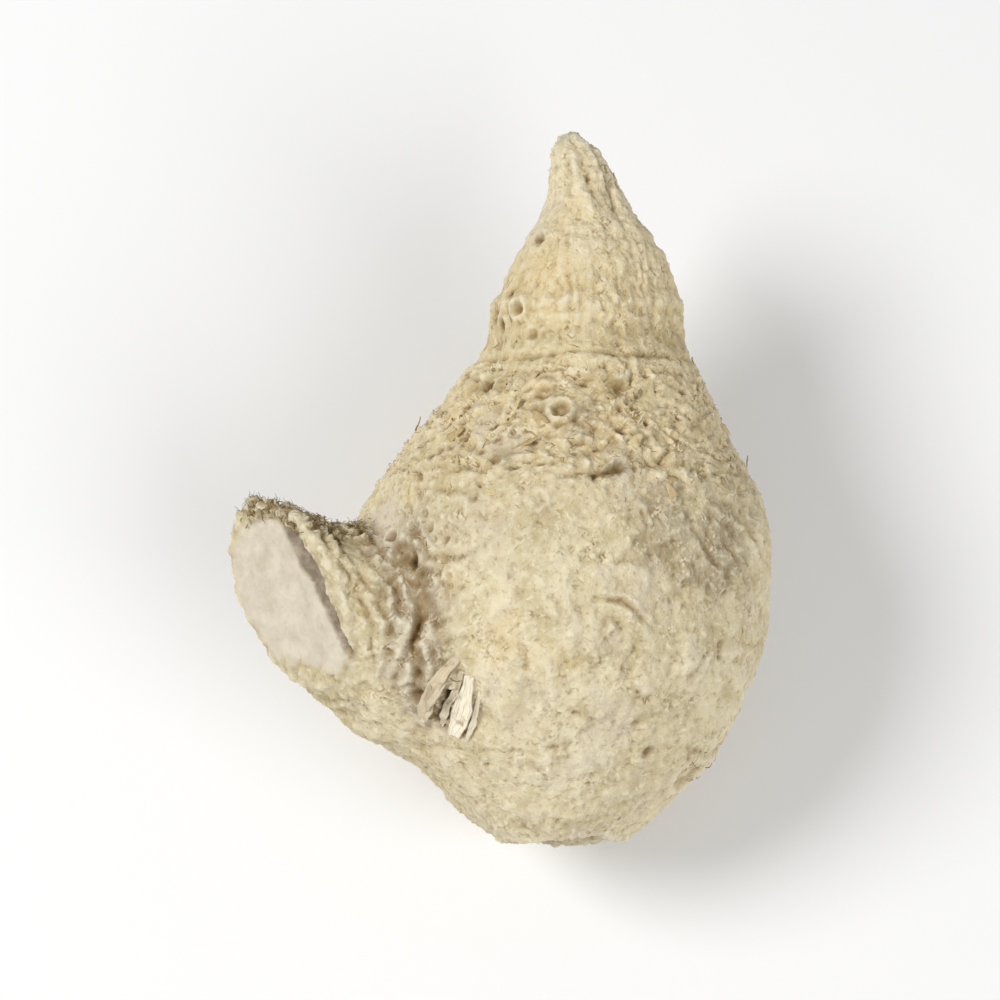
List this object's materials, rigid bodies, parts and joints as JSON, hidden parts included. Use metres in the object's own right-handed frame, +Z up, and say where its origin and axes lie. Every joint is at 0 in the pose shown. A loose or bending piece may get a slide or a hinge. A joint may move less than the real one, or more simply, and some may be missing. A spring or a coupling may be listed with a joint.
{
  "type": "dried zedoary rhizome",
  "caption": "Dried zedoary mother rhizome: round belly, ringed cone with a blunt growing point, and a short side stump with a flat break.",
  "frame": {"origin": "middle of the bounding box's underside, on the surface that the rhizome rests on", "axes": "+Y from the base towards the growing point, +Z up, and the side stump points towards -X"},
  "size_m": [0.0406, 0.0528, 0.0281],
  "materials": {
    "dry_skin": "matt, dry, finely wrinkled greyish tan skin with a thin bloom of starch powder",
    "root_fibre": "matt, dry, straw-coloured fibres"
  },
  "bodies": {
    "root": {"rhizome": "dry_skin"}
  },
  "joints": []
}
